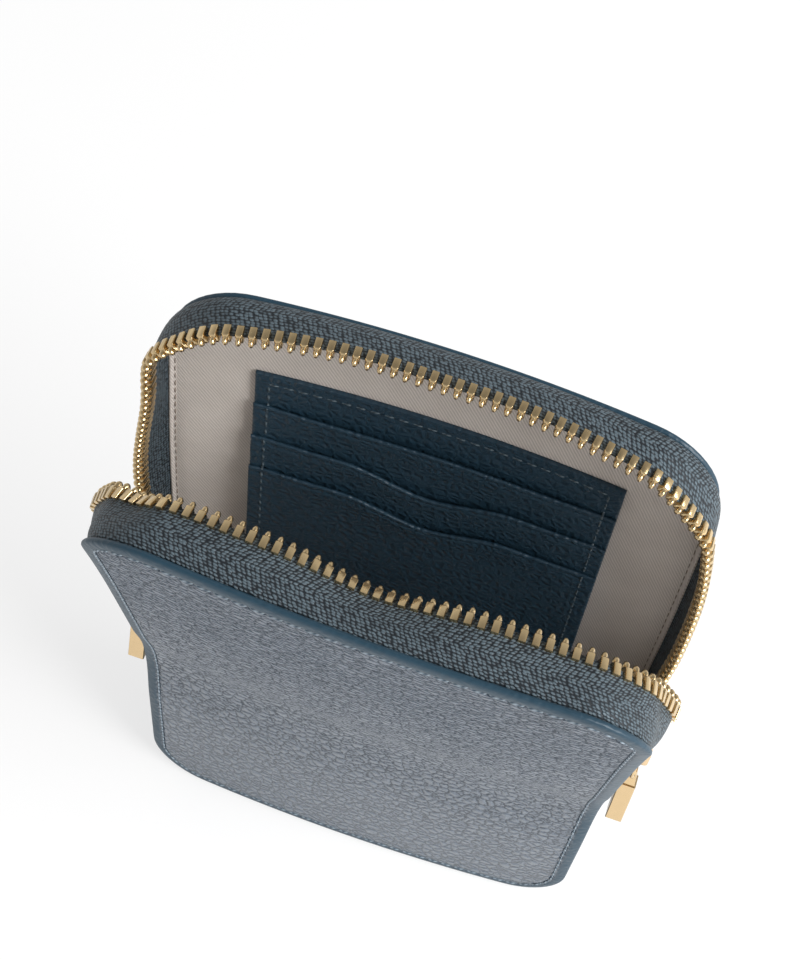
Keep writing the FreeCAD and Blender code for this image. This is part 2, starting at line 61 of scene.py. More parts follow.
mm = 0.001
PANEL_HALF_WIDTH, BACK_Y, PANEL_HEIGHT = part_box("back_panel")[1]
BACK_BOW = 4.2 * mm
BACK_RACK = -1.4 * mm
TOP_CORNER = 16 * mm
FOOT_CORNER = 14 * mm
FOOT_TAPER = 1.4 * mm
FOOT_SHIFT = 0.7 * mm
TAPER_HEIGHT = 64 * mm
LEATHER = 1.2 * mm
BOARD = 0.8 * mm
WELT_RADIUS = 0.95 * mm
TURN_FADE = 0.8 * mm
TURN_UNDER = 4 * mm
STITCH_INSET = 3.2 * mm
STITCH_DIP = 0.35 * mm
GROOVE_WIDTH = 0.5 * mm


def back_face(x, depth):
    """How far back the back panel lies at x, on a layer `depth` below its outer face."""
    radius = (PANEL_HALF_WIDTH**2 + BACK_BOW**2) / (2 * BACK_BOW)
    return BACK_Y - radius + np.sqrt((radius - depth) ** 2 - x**2)


def rack_back(points):
    """The soft pouch stands a little out of square: its back leans sideways with height."""
    aside = BACK_RACK * points[..., 2] / PANEL_HEIGHT
    return points + np.stack([aside, 0 * aside, 0 * aside], axis=-1)


def narrow_foot(x, z):
    """The gusset draws the sides in towards the foot, which sits a little out of square."""
    share = np.clip(1 - z / TAPER_HEIGHT, 0, 1)
    return x + share * (FOOT_SHIFT - FOOT_TAPER * x / PANEL_HALF_WIDTH)


def on_back(x, z, depth):
    """A point of the back at (x, z), on a layer `depth` below its outer face."""
    return rack_back(np.stack([narrow_foot(x, z), back_face(x, depth), z], axis=-1))


def panel_ring(half, low, high, foot_corner, top_corner, inset, across=64, turn=12, up=96):
    """Points (x, z) round an upright panel with rounded corners, a little in from its outline."""
    room = min(half, (high - low) / 2)
    half, low, high = half - inset, low + inset, high - inset
    foot, top = (max(r - inset, 0.3 * r * (1 - inset / room)) for r in (foot_corner, top_corner))
    corners = (
        (half - foot, low + foot, foot, (half, high - top), up),
        (half - top, high - top, top, (top - half, high), across),
        (top - half, high - top, top, (-half, low + foot), up),
        (foot - half, low + foot, foot, (half - foot, low), across),
    )
    points = []
    for number, (x, z, radius, following, straight) in enumerate(corners):
        angles = (number - 1 + np.linspace(0, 1, turn + 1)) * math.pi / 2
        round_corner = np.stack([x + radius * np.cos(angles), z + radius * np.sin(angles)], axis=1)
        points += [round_corner[:-1], np.linspace(round_corner[-1], following, straight, endpoint=False)]
    return np.concatenate(points)


def mesh_piece(name, points, faces, flat, material):
    """A mesh object with a map of its flat cut, in metres, that the grain and the weave follow."""
    mesh = bpy.data.meshes.new(name)
    mesh.from_pydata([tuple(p) for p in points], [], [tuple(f) for f in faces])
    cut = mesh.uv_layers.new(name="cut")
    corners = np.zeros(len(mesh.loops), np.int32)
    mesh.loops.foreach_get("vertex_index", corners)
    cut.data.foreach_set("uv", np.asarray(flat, np.float32)[corners].ravel())
    mesh.polygons.foreach_set("use_smooth", [True] * len(mesh.polygons))
    mesh.materials.append(material)
    mesh.validate()
    piece = bpy.data.objects.new(name, mesh)
    bpy.context.scene.collection.objects.link(piece)
    return piece


def ring_faces(rings, count, first=0, capped=False):
    """Quads between rings of points laid one after another, and a cap at both ends where one is asked for."""
    faces = []
    for ring in range(rings - 1):
        low, high = first + ring * count, first + (ring + 1) * count
        for step in range(count):
            following = (step + 1) % count
            faces.append((low + step, low + following, high + following, high + step))
    if capped:
        last = first + (rings - 1) * count
        faces.append(tuple(first + step for step in reversed(range(count))))
        faces.append(tuple(last + step for step in range(count)))
    return faces


def close_middle(piece):
    """Join the points that meet on the middle line of a piece made of rings."""
    work = bmesh.new()
    work.from_mesh(piece.data)
    bmesh.ops.remove_doubles(work, verts=work.verts, dist=0.02 * mm)
    bmesh.ops.dissolve_degenerate(work, edges=work.edges, dist=0.01 * mm)
    bmesh.ops.recalc_face_normals(work, faces=work.faces)
    work.to_mesh(piece.data)
    work.free()


def groove(inset):
    """How deep the topstitching pulls the leather in, at a distance from the panel's edge."""
    return STITCH_DIP * math.exp(-(((inset - STITCH_INSET) / GROOVE_WIDTH) ** 2))


def welted_section(half):
    """(inset, depth) from the middle of the outer face, over the welt, to the middle of the inner one."""
    outer = [half, half - 4 * mm, half - 10 * mm]
    outer += [inset * mm for inset in (38, 32, 26, 21, 17, 14, 11, 9, 7.5, 6.4, 5.6, 5, 4.5, 4.1, 3.8, 3.5)]
    section = [(inset, groove(inset)) for inset in outer]
    for angle in np.linspace(0, math.pi / 2, 13):
        inset = STITCH_INSET * (1 - math.sin(angle))
        section.append((inset, WELT_RADIUS * (1 - math.cos(angle)) + groove(inset)))
    for angle in np.linspace(0, math.pi / 2, 7)[1:]:
        section.append((WELT_RADIUS * (1 - math.cos(angle)), WELT_RADIUS * (1 + math.sin(angle))))
    section += [(1.9 * mm, 1.8 * WELT_RADIUS), (3 * mm, LEATHER)]
    section += [(inset * mm, LEATHER) for inset in (6, 12, 24, 40)]
    return section + [(half, LEATHER)]


def leather_panel(name, place, material):
    """A whole panel with its welt, marked where its leather is pulled smooth over the turned edge."""
    outline = (PANEL_HALF_WIDTH, 0.0, PANEL_HEIGHT, FOOT_CORNER, TOP_CORNER)
    points, flat, turned = [], [], []
    section = welted_section(PANEL_HALF_WIDTH)
    walked = PANEL_HALF_WIDTH
    for number, (inset, depth) in enumerate(section):
        ring = panel_ring(*outline, inset)
        points.append(place(ring[:, 0], ring[:, 1], depth))
        walked -= math.dist(section[number - 1], section[number]) if number else 0.0
        flat.append(panel_ring(*outline, max(walked, -TURN_UNDER)))
        turned += [float(np.clip((STITCH_INSET - 0.2 * mm - walked) / TURN_FADE, 0, 1))] * len(ring)
    faces = ring_faces(len(section), len(flat[0]))
    piece = mesh_piece(name, np.concatenate(points), faces, np.concatenate(flat), material)
    piece.data.attributes.new("turned", "FLOAT", "POINT").data.foreach_set("value", turned)
    close_middle(piece)
    return piece


def new_material(name):
    """A node material with only its surface shader, and a short way to add and link nodes."""
    material = bpy.data.materials.new(name)
    material.use_nodes = True
    tree = material.node_tree
    surface = next(node for node in tree.nodes if node.type == "BSDF_PRINCIPLED")

    def node(kind, inputs=None, **settings):
        made = tree.nodes.new(f"ShaderNode{kind}")
        for key, value in settings.items():
            setattr(made, key, value)
        for socket, value in (inputs or {}).items():
            if isinstance(value, bpy.types.NodeSocket):
                tree.links.new(value, made.inputs[socket])
            else:
                made.inputs[socket].default_value = value
        return made.outputs

    def finish(**sockets):
        for key, value in sockets.items():
            socket = surface.inputs[key.replace("_", " ")]
            if isinstance(value, bpy.types.NodeSocket):
                tree.links.new(value, socket)
            else:
                socket.default_value = value

    return material, node, finish


def pebbled_leather(name, crease, ridge, edge, pebble, crease_width, roughness, relief, gloss, polish):
    """Leather with a shrunken pebble grain: domed pebbles parted by dull creases in a tone of their own, which is
    painted
    light: painted shade where it is darker, a painted highlight where it is lighter. The grain is pulled smooth
    where the edge is turned. Towards the foot the coat is stronger and the creases dull it less: a painted sheen
    that brightens the foot."""
    material, node, finish = new_material(name)
    cut = node("UVMap", uv_map="cut")["UV"]
    turned = node("Attribute", attribute_name="turned")["Fac"]
    drift = node("TexNoise", {"Vector": cut, "Scale": 320.0, "Detail": 3.0})["Color"]
    bent = node("MixRGB", {"Fac": 0.45 * pebble, "Color1": cut, "Color2": drift}, blend_type="ADD")["Color"]
    cells = node("TexVoronoi", {"Vector": bent, "Scale": 1 / pebble}, feature="DISTANCE_TO_EDGE")["Distance"]
    wrinkles = node("TexNoise", {"Vector": cut, "Scale": 3.2 / pebble, "Detail": 5.0, "Distortion": 0.6})["Fac"]
    clouds = node("TexNoise", {"Vector": cut, "Scale": 45.0, "Detail": 4.0})["Fac"]
    broken = node("Math", {0: wrinkles, 1: 0.8, 2: cells}, operation="MULTIPLY_ADD")["Value"]
    creases = node("MapRange", {"Value": broken, "From Min": 0.36, "From Max": 0.36 + crease_width},
                   interpolation_type="SMOOTHSTEP")["Result"]
    domes = node("MapRange", {"Value": cells, "From Max": 0.42}, interpolation_type="SMOOTHSTEP")["Result"]
    pulled = node("Math", {0: turned, 1: 0.85}, operation="MULTIPLY")["Value"]
    swell = node("MixRGB", {"Fac": pulled, "Color1": creases, "Color2": (0.8, 0.8, 0.8, 1)})["Color"]
    height = node("MixRGB", {"Fac": 0.3, "Color1": domes, "Color2": wrinkles})["Color"]
    height = node("MixRGB", {"Fac": pulled, "Color1": height, "Color2": clouds})["Color"]
    tone = node("MixRGB", {"Fac": 0.25, "Color1": swell, "Color2": clouds})["Color"]
    # The creases take the crease tone: painted shade where it is darker than the ridge, a painted highlight where
    # it is lighter.
    colour = node("MixRGB", {"Fac": tone, "Color1": (*crease, 1), "Color2": (*ridge, 1)})["Color"]
    colour = node("MixRGB", {"Fac": turned, "Color1": colour, "Color2": (*edge, 1)})["Color"]
    dulled = node("MapRange", {"Value": turned, "To Min": gloss, "To Max": 0.4 * gloss})["Result"]
    shine = node("MapRange", {"Value": height, "To Min": roughness + 0.1, "To Max": roughness - 0.06})["Result"]
    up = node("SeparateXYZ", {"Vector": cut})["Y"]

    def by_height(start, end, lower, upper):
        return node("MapRange", {"Value": up, "From Min": start * PANEL_HEIGHT, "From Max": end * PANEL_HEIGHT,
                                 "To Min": lower, "To Max": upper}, interpolation_type="SMOOTHSTEP")["Result"]

    # Painted sheen: towards the foot the coat is stronger and the creases dull the shine less, so the lower part
    # reflects more light.
    crease_dulling_by_height = by_height(0.05, 0.5, 0.35, 0.9)
    painted_sheen_by_height = by_height(0.25, 0.85, polish, 0.36 * polish)
    dulled = node("MixRGB", {"Fac": crease_dulling_by_height, "Color1": dulled, "Color2": swell}, blend_type="MULTIPLY")["Color"]
    patchy = node("MixRGB", {"Fac": crease_dulling_by_height, "Color1": painted_sheen_by_height, "Color2": swell}, blend_type="MULTIPLY")["Color"]
    coat = node("MixRGB", {"Fac": turned, "Color1": patchy, "Color2": (0.22 * polish,) * 3 + (1,)})["Color"]
    bump = node("Bump", {"Height": height, "Strength": relief, "Distance": 0.7 * mm})["Normal"]
    finish(Base_Color=colour, Roughness=shine, Specular_IOR_Level=dulled, Normal=bump, Coat_Weight=coat,
           Coat_Roughness=0.42, Coat_IOR=2.0, Coat_Normal=bump)
    return material


# The darker crease tone here is painted shade in the creases of the grain.
slate_leather = pebbled_leather(
    "slate_leather", crease=(0.006, 0.015, 0.026), ridge=(0.026, 0.058, 0.102), edge=(0.012, 0.042, 0.068),
    pebble=2.2 * mm, crease_width=0.2, roughness=0.46, relief=0.95, gloss=0.5, polish=1.0
)

back_leather = leather_panel("back_leather", on_back, slate_leather)
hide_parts("back_panel", "back_stiffener")
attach(back_leather, "pouch_body")


# Topstitching: one line of bonded thread in the groove beside the welt, each stitch pulled down into
# the leather at both ends. The same stitch sews the lining and the card holder.

STITCH_PITCH = 3.5 * mm
STITCH_LENGTH = 3.25 * mm
STITCH_SEAT = STITCH_DIP - 0.28 * mm
SEAM_CORNER = 11 * mm
THREAD_RADIUS = 0.24 * mm
THREAD_SIDES = 8
WAY_REACH = 0.3 * mm


def walk(points, pitch):
    """Evenly spaced points along a line of points, and the way the line runs at each."""
    steps = np.linalg.norm(np.diff(points, axis=0), axis=1)
    run = np.concatenate([[0], np.cumsum(steps)])
    count = max(2, int(round(run[-1] / pitch)))
    at = (np.arange(count) + 0.5) * run[-1] / count

    def spots(lengths):
        return np.stack([np.interp(lengths, run, column) for column in points.T], axis=1)

    way = spots(at + WAY_REACH) - spots(at - WAY_REACH)
    return spots(at), way / np.linalg.norm(way, axis=1)[:, None]


def stitch_line(name, line, place, depth, material,
                pitch=STITCH_PITCH, length=STITCH_LENGTH, radius=THREAD_RADIUS):
    """Stitches along a line (x, z) of a panel; each is a short thread that arches over the leather."""
    shares = (-1.0, -0.93, -0.75, -0.4, 0.0, 0.4, 0.75, 0.93, 1.0)
    points, faces, flat = [], [], []
    for (x, z), (way_x, way_z) in zip(*walk(line, pitch)):
        faces += ring_faces(len(shares), THREAD_SIDES, len(points), capped=True)
        for share in shares:
            reach = 0.5 * length * share
            thick = radius * math.sqrt(max(0.0, 1 - share**6)) + 0.02 * mm
            sunk = depth + 0.3 * mm * share**4
            for turn in np.linspace(0, 2 * math.pi, THREAD_SIDES, endpoint=False):
                aside = thick * math.cos(turn)
                spot_x = np.array([x + way_x * reach - way_z * aside])
                spot_z = np.array([z + way_z * reach + way_x * aside])
                points.append(place(spot_x, spot_z, sunk - thick * math.sin(turn))[0])
                flat.append((reach, radius * turn))
    return mesh_piece(name, points, faces, flat, material)


def twisted_thread(name, dark, light):
    """Sewing thread: two plies laid round each other."""
    material, node, finish = new_material(name)
    cut = node("UVMap", uv_map="cut")["UV"]
    plies = node("TexWave", {"Vector": cut, "Scale": 420.0, "Distortion": 0.5},
                 bands_direction="DIAGONAL")["Fac"]
    colour = node("MixRGB", {"Fac": plies, "Color1": (*dark, 1), "Color2": (*light, 1)})["Color"]
    bump = node("Bump", {"Height": plies, "Strength": 0.5, "Distance": 0.05 * mm})["Normal"]
    finish(Base_Color=colour, Roughness=0.5, Normal=bump)
    return material


slate_thread = twisted_thread("slate_thread", (0.060, 0.090, 0.120), (0.290, 0.350, 0.400))

seam_line = panel_ring(PANEL_HALF_WIDTH - STITCH_INSET, STITCH_INSET, PANEL_HEIGHT - STITCH_INSET,
                       FOOT_CORNER - STITCH_INSET, SEAM_CORNER, 0.0)
seam_line = np.concatenate([seam_line, seam_line[:1]])

back_topstitch = stitch_line("back_topstitch", seam_line, on_back, STITCH_SEAT, slate_thread)
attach(back_topstitch, "pouch_body")


# Front panel: one piece of the same leather, sewn at the foot and sides up to the zip's ends. Above them
# it is free and leans open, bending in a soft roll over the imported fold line.

fold = next(joint for joint in frame["joints"] if joint["name"] == "front_flap_fold")
FRONT_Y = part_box("front_panel_lower")[0].y
FRONT_BOW = 2.7 * mm
FLAP_TWIST = math.radians(0.6)
FOLD_Y, FOLD_Z = fold["pos_m"][1], fold["pos_m"][2]
OPEN_ANGLE = -math.radians(fold["range_deg"][0])
FOLD_ROLL = 48 * mm
FOLD_SLANT = 1.5 * mm
CORNER_SPLAY = (1.4 * mm, 1.8 * mm)
SPLAY_START = 0.7


def eased(share):
    """A share from 0 to 1 that starts and ends gently."""
    return share**2 * (3 - 2 * share)


def front_face(x, depth):
    """How far forward the shut front panel lies at x, on a layer `depth` below its outer face."""
    radius = (PANEL_HALF_WIDTH**2 + FRONT_BOW**2) / (2 * FRONT_BOW)
    return FRONT_Y + radius - np.sqrt((radius - depth) ** 2 - x**2)


def lean_open(points):
    """Turn points of the shut front forward about the fold, fully above the roll and not below it. The fold
    runs lower to the right, and the top corners splay forward."""
    x, y, z = points[..., 0], points[..., 1], points[..., 2]
    across = x / PANEL_HALF_WIDTH
    bend_z = FOLD_Z - FOLD_SLANT * (1 + across)
    angle = (OPEN_ANGLE + FLAP_TWIST * across) * eased(np.clip((z - bend_z) / FOLD_ROLL + 0.5, 0, 1))
    near_top = np.clip((z / PANEL_HEIGHT - SPLAY_START) / (1 - SPLAY_START), 0, 1)
    forward = np.where(across < 0, *CORNER_SPLAY) * np.minimum(np.abs(across), 1) ** 6 * near_top**2
    y, z = y - forward - FOLD_Y, z - bend_z
    turned_y = FOLD_Y + y * np.cos(angle) - z * np.sin(angle)
    turned_z = bend_z + y * np.sin(angle) + z * np.cos(angle)
    return np.stack([x, turned_y, turned_z], axis=-1)


def on_front(x, z, depth):
    """A point of the open front at (x, z), on a layer `depth` below its outer face."""
    return lean_open(np.stack([narrow_foot(x, z), front_face(x, depth), z], axis=-1))


def bend_with_front(piece):
    """Fix a piece's placement into its points; its shape already leans open with the flap above the roll."""
    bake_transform(piece)


front_leather = leather_panel("front_leather", on_front, slate_leather)
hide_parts("front_panel_lower", "front_panel_upper",
            "front_stiffener_lower", "front_stiffener_upper")
bend_with_front(front_leather)

front_topstitch = stitch_line("front_topstitch", seam_line, on_front, STITCH_SEAT, slate_thread)
bend_with_front(front_topstitch)


# Gusset: a strip of the same leather bent up round the foot and both sides between the two panels,
# glued and sewn in under their welts. It draws in a little along its middle.

GUSSET_HALF, _, GUSSET_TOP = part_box("gusset")[1]
GUSSET_DRAW = 1.6 * mm


def gusset_path(inset, up=40, turn=14, across=60):
    """Points (x, z) and outward directions down the left side, along the foot and up the right side."""
    half, radius = GUSSET_HALF - inset, FOOT_CORNER - inset
    side = np.linspace(GUSSET_TOP, inset + radius, up, endpoint=False)
    foot = np.linspace(-half + radius, 0, across // 2, endpoint=False)
    spots = [((-half, z), (-1.0, 0.0)) for z in side]
    for angle in np.linspace(math.pi, 1.5 * math.pi, turn, endpoint=False):
        out = (math.cos(angle), math.sin(angle))
        spots.append(((-half + radius + radius * out[0], inset + radius + radius * out[1]), out))
    spots += [((x, inset), (0.0, -1.0)) for x in foot]
    mirrored = [((-x, z), (-out_x, out_z)) for (x, z), (out_x, out_z) in reversed(spots)]
    return spots + [((0.0, inset), (0.0, -1.0))] + mirrored


def bent_strip(name, inset, thickness, cover, material):
    """A strip across the pouch along the gusset's path, tucked `cover` under both panels' faces."""
    path = gusset_path(inset)
    shares = np.linspace(0, 1, 19)
    points, flat, run = [], [], 0.0
    previous = path[0][0]
    for (x, z), out in path:
        run += math.dist(previous, (x, z))
        previous = (x, z)
        front_y = float(front_face(np.array(x), cover))
        back_y = float(back_face(np.array(x), cover))
        section = [(share, 0.0) for share in shares] + [(share, thickness) for share in shares[::-1]]
        for share, deep in section:
            draw = GUSSET_DRAW * math.sin(math.pi * share) ** 2 * (1 + min(0.0, out[1])) + deep
            across = share * (back_y - front_y)
            points.append((narrow_foot(x - out[0] * draw, z), front_y + across, z - out[1] * draw))
            flat.append((run, across))
    faces = ring_faces(len(path), 2 * len(shares), capped=True)
    piece = mesh_piece(name, points, faces, flat, material)
    close_middle(piece)
    return piece


gusset_leather = bent_strip("gusset_leather", 0.0, LEATHER, LEATHER, slate_leather)
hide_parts("gusset")
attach(gusset_leather, "pouch_body")


# Linings: greige cotton twill glued inside both panels and the gusset. The front one bends with the front
# panel. Along the zip their edges are turned under and sewn to the tapes.

LINING = 0.5 * mm
LINING_INSET = PANEL_HALF_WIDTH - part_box("back_lining")[1].x
LINING_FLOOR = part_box("back_lining")[0].z
LINING_HALF, LINING_TOP = PANEL_HALF_WIDTH - LINING_INSET, PANEL_HEIGHT - LINING_INSET
LINING_DEPTH = LEATHER + BOARD
LINING_FACE = LINING_DEPTH + LINING
LINING_CORNER = TOP_CORNER - 1 * mm
LINING_FOOT_CORNER = FOOT_CORNER - 1 * mm


def twill_cloth(name, dark, light, rib, slant):
    """Twill: steep diagonal ribs of one yarn over another, with a little slub."""
    material, node, finish = new_material(name)
    cut = node("UVMap", uv_map="cut")["UV"]
    wave = 2 * math.pi / rib
    phase = node("VectorMath", {0: cut, 1: (wave * math.cos(slant), wave * math.sin(slant), 0)},
                 operation="DOT_PRODUCT")
    sway = node("TexNoise", {"Vector": cut, "Scale": 400.0, "Detail": 2.0})["Fac"]
    phase = node("Math", {0: sway, 1: 2.5, 2: phase["Value"]}, operation="MULTIPLY_ADD")["Value"]
    ribs = node("Math", {0: node("Math", {0: phase}, operation="SINE")["Value"], 1: 0.5, 2: 0.5},
                operation="MULTIPLY_ADD")["Value"]
    yarns = node("TexNoise", {"Vector": cut, "Scale": 2600.0, "Detail": 3.0})["Fac"]
    slubs = node("TexNoise", {"Vector": cut, "Scale": 90.0, "Detail": 4.0})["Fac"]
    weave = node("MixRGB", {"Fac": 0.35, "Color1": ribs, "Color2": yarns})["Color"]
    tone = node("MixRGB", {"Fac": 0.3, "Color1": weave, "Color2": slubs})["Color"]
    colour = node("MixRGB", {"Fac": tone, "Color1": (*dark, 1), "Color2": (*light, 1)})["Color"]
    bump = node("Bump", {"Height": weave, "Strength": 0.45, "Distance": 0.12 * mm})["Normal"]
    finish(Base_Color=colour, Roughness=0.85, Specular_IOR_Level=0.2, Sheen_Weight=0.15, Normal=bump)
    return material


greige_twill = twill_cloth(
    "greige_twill", dark=(0.370, 0.325, 0.292), light=(0.860, 0.795, 0.740), rib=0.70 * mm, slant=math.radians(30))
greige_thread = twisted_thread("greige_thread", (0.140, 0.105, 0.080), (0.330, 0.270, 0.220))


def lining_sheet(name, place):
    """A sheet that lies inside a panel, with a rounded edge where it is turned under."""
    section = [(LINING_HALF, LINING_FACE)]
    section += [(inset * mm, LINING_FACE) for inset in (46, 38, 30, 22, 15, 10, 6, 3.5, 2.6, 1.7, 1.0)]
    section += [(0.4 * mm, LINING_DEPTH + 0.9 * LINING), (0.0, LINING_DEPTH + 0.5 * LINING)]
    section += [(inset, LINING_DEPTH) for inset in (0.3 * mm, 20 * mm, LINING_HALF)]
    points, flat = [], []
    for inset, depth in section:
        ring = panel_ring(LINING_HALF, LINING_FLOOR, LINING_TOP, LINING_FOOT_CORNER, LINING_CORNER, inset)
        points.append(place(ring[:, 0], ring[:, 1], depth))
        flat.append(ring)
    faces = ring_faces(len(section), len(flat[0]))
    piece = mesh_piece(name, np.concatenate(points), faces, np.concatenate(flat), greige_twill)
    close_middle(piece)
    return piece


back_twill = lining_sheet("back_twill", on_back)
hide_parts("back_lining")
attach(back_twill, "pouch_body")

front_twill = lining_sheet("front_twill", on_front)
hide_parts("front_lining_lower", "front_lining_upper")
bend_with_front(front_twill)

gusset_twill = bent_strip("gusset_twill", LEATHER, LINING, LINING_FACE, greige_twill)
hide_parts("gusset_lining")
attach(gusset_twill, "pouch_body")


# Card holder: a backing of finer, darker leather sewn to the back lining, with three pockets stacked on
# it like steps. Each pocket's mouth is creased along its edge, and the two in front dip for the thumb.

card_low, card_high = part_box("card_backing")
CARD_SPREAD = 0.8 * mm
CARD_DROP = 2.5 * mm
CARD_HALF = card_high.x + CARD_SPREAD
CARD_TOP, CARD_FOOT = card_high.z - CARD_DROP, card_low.z
CARD_LEATHER = 1.0 * mm
POCKET_LEATHER = 0.8 * mm
POCKET_TOPS = [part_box(f"card_pocket_{name}")[1].z - CARD_DROP for name in ("top", "middle", "front")]
POCKET_REACH = 46 * mm
THUMB_HALF = 19 * mm
THUMB_DEPTH = 4.5 * mm
MOUTH_CREASE = 1.7 * mm
MOUTH_LIP = 0.35 * mm
MOUTH_GAPE = 1.0 * mm
GAPE_REACH = 6 * mm
CARD_SEAM = 3.0 * mm
seam_x = CARD_HALF - CARD_SEAM

# Here the crease tone is lighter than the ridge: a painted highlight of light grazing the crease edges.
navy_leather = pebbled_leather(
    "navy_leather", crease=(0.028, 0.058, 0.082), ridge=(0.012, 0.036, 0.060), edge=(0.012, 0.036, 0.060),
    pebble=2.2 * mm, crease_width=0.06, roughness=0.42, relief=0.5, gloss=0.42, polish=0.1
)
navy_thread = twisted_thread("navy_thread", (0.022, 0.036, 0.047), (0.120, 0.160, 0.185))


def thumb_dip(x, depth):
    """The S-curved dip in the middle of a pocket's mouth."""
    return depth * eased(np.clip(1 - np.abs(x) / THUMB_HALF, 0, 1))


def card_layer(name, top, foot, dip, gape, outer, thickness, material):
    """One layer of the holder, with a creased and rounded mouth at the top and plain cut sides."""
    middle = np.linspace(-0.985, 0.985, 101)
    columns = np.concatenate([[-1.0, -0.998, -0.992], middle, [0.992, 0.998, 1.0]]) * CARD_HALF
    edge_fall = np.array([0.35, 0.12, 0.0]) * mm
    side = np.concatenate([edge_fall, 0 * middle, edge_fall[::-1]])
    drops = np.array([0.0, 0.05, 0.16, 0.35, 0.7, 1.1, 1.4, 1.7, 2.0, 2.4, 3.2, 5, 8, 12, 17, 23]) * mm
    drops = np.concatenate([drops, np.linspace(30 * mm, top - foot, 12)])
    mouth = top - thumb_dip(columns, dip)
    points, flat = [], []
    for face in ("front", "back"):
        for drop in drops if face == "front" else drops[::-1]:
            z = mouth - drop * (mouth - foot) / (top - foot)
            lip = 1 - min(drop / MOUTH_LIP, 1)
            rounding = thickness * (0.5 if gape else 0.14) * (1 - math.sqrt(1 - lip**2))
            crease = (0.22 * mm if gape else 0.0) * math.exp(-(((drop - MOUTH_CREASE) / (0.45 * mm)) ** 2))
            free = 1 - np.minimum(np.abs(columns) / seam_x, 1) ** 4
            gaping = gape * free * math.exp(-((drop / GAPE_REACH) ** 2))
            if face == "front":
                depth = outer + thickness - rounding - crease - side + gaping
            else:
                depth = outer + rounding + gaping
            points.append(on_back(columns, z, depth))
            flat.append(np.stack([columns, z], axis=-1))
    count, rows = len(columns), len(points)
    faces = []
    for row in range(rows):
        following = (row + 1) % rows
        for step in range(count - 1):
            faces.append((row * count + step, row * count + step + 1,
                          following * count + step + 1, following * count + step))
    for row in range(rows // 2 - 1):
        mirror = rows - 1 - row
        for step in (0, count - 1):
            faces.append((row * count + step, (row + 1) * count + step,
                          (mirror - 1) * count + step, mirror * count + step))
    piece = mesh_piece(name, np.concatenate(points), faces, np.concatenate(flat), material)
    close_middle(piece)
    return piece


card_sheet = card_layer("card_sheet", CARD_TOP, CARD_FOOT, 0.0, 0.0, LINING_FACE, CARD_LEATHER, navy_leather)
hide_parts("card_backing")
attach(card_sheet, "pouch_body")

for number, (name, top) in enumerate(zip(("top", "middle", "front"), POCKET_TOPS)):
    foot = CARD_FOOT if name == "front" else top - POCKET_REACH
    outer = LINING_FACE + CARD_LEATHER + number * POCKET_LEATHER
    dip = THUMB_DEPTH if number else 0.0
    pocket = card_layer(f"{name}_pocket", top, foot, dip, MOUTH_GAPE, outer, POCKET_LEATHER, navy_leather)
    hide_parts(f"card_pocket_{name}")
    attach(pocket, "pouch_body")


def on_card(x, z, depth):
    """A point over the card holder's steps; depth grows into the leather."""
    pockets = sum((z < top).astype(int) for top in POCKET_TOPS)
    return on_back(x, z, LINING_FACE + CARD_LEATHER + pockets * POCKET_LEATHER - depth)


seam_top, seam_foot = CARD_TOP - CARD_SEAM, CARD_FOOT + CARD_SEAM
card_line = np.array([(-seam_x, seam_foot), (-seam_x, seam_top), (seam_x, seam_top),
                      (seam_x, seam_foot), (-seam_x, seam_foot)])
card_topstitch = stitch_line("card_topstitch", card_line, on_card, 0.05 * mm, navy_thread,
                             pitch=3.0 * mm, length=2.5 * mm, radius=0.22 * mm)
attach(card_topstitch, "pouch_body")


# Zip tapes: woven herringbone tape, hemmed under each panel's welt and standing up from it to the teeth.
# The stiff chain pulls them into a wide arch that bulges at the sides and cuts the corners.

TAPE_WIDTH = 10.4 * mm
TAPE = 0.6 * mm
TAPE_INSET = 1.3 * mm
TAPE_HEM = 4 * mm
ZIP_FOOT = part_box("back_zip_tape")[0].z
SEAM_DEPTH = 1.8 * WELT_RADIUS
SLIDER_RUN, SHUT_RUN = 12.5 * mm, 90.5 * mm
BULGE_RUN = {"front": 80 * mm, "back": 56 * mm}
# Degrees that a tape leans out of its panel's edge, from the left end to the right: at the slider, at the bulge
# of the side, where the slider stops when shut, round the corner, along the top, and down the other side alike.
TAPE_LEAN = {
    "front": (12, 12, 20, 0, -25, -13, -8, -26, -8, -13, -16, -3, 19, 13, 12),
    "back": (12, 37, 16.5, 15, 5, 16, 27, 26, 25, 11, -1, 11, 19, 29, 12),
}
OUTWARD_CURL, INWARD_CURL = 0.8, 0.3
SEAM_RISE = {"front": math.radians(32), "back": math.radians(75)}
EDGE_FALL = {"front": math.radians(5), "back": 0.0}


def smooth_curve(at, stations, values):
    """A value that runs smoothly through the values given at the stations."""
    slopes = np.gradient(values, stations)
    slopes[0] = slopes[-1] = 0.0
    first = int(np.clip(np.searchsorted(stations, at) - 1, 0, len(stations) - 2))
    gap = stations[first + 1] - stations[first]
    share = np.clip((at - stations[first]) / gap, 0, 1)
    return (values[first] + eased(share) * (values[first + 1] - values[first])
            + gap * share * (1 - share) * ((1 - share) * slopes[first] - share * slopes[first + 1]))


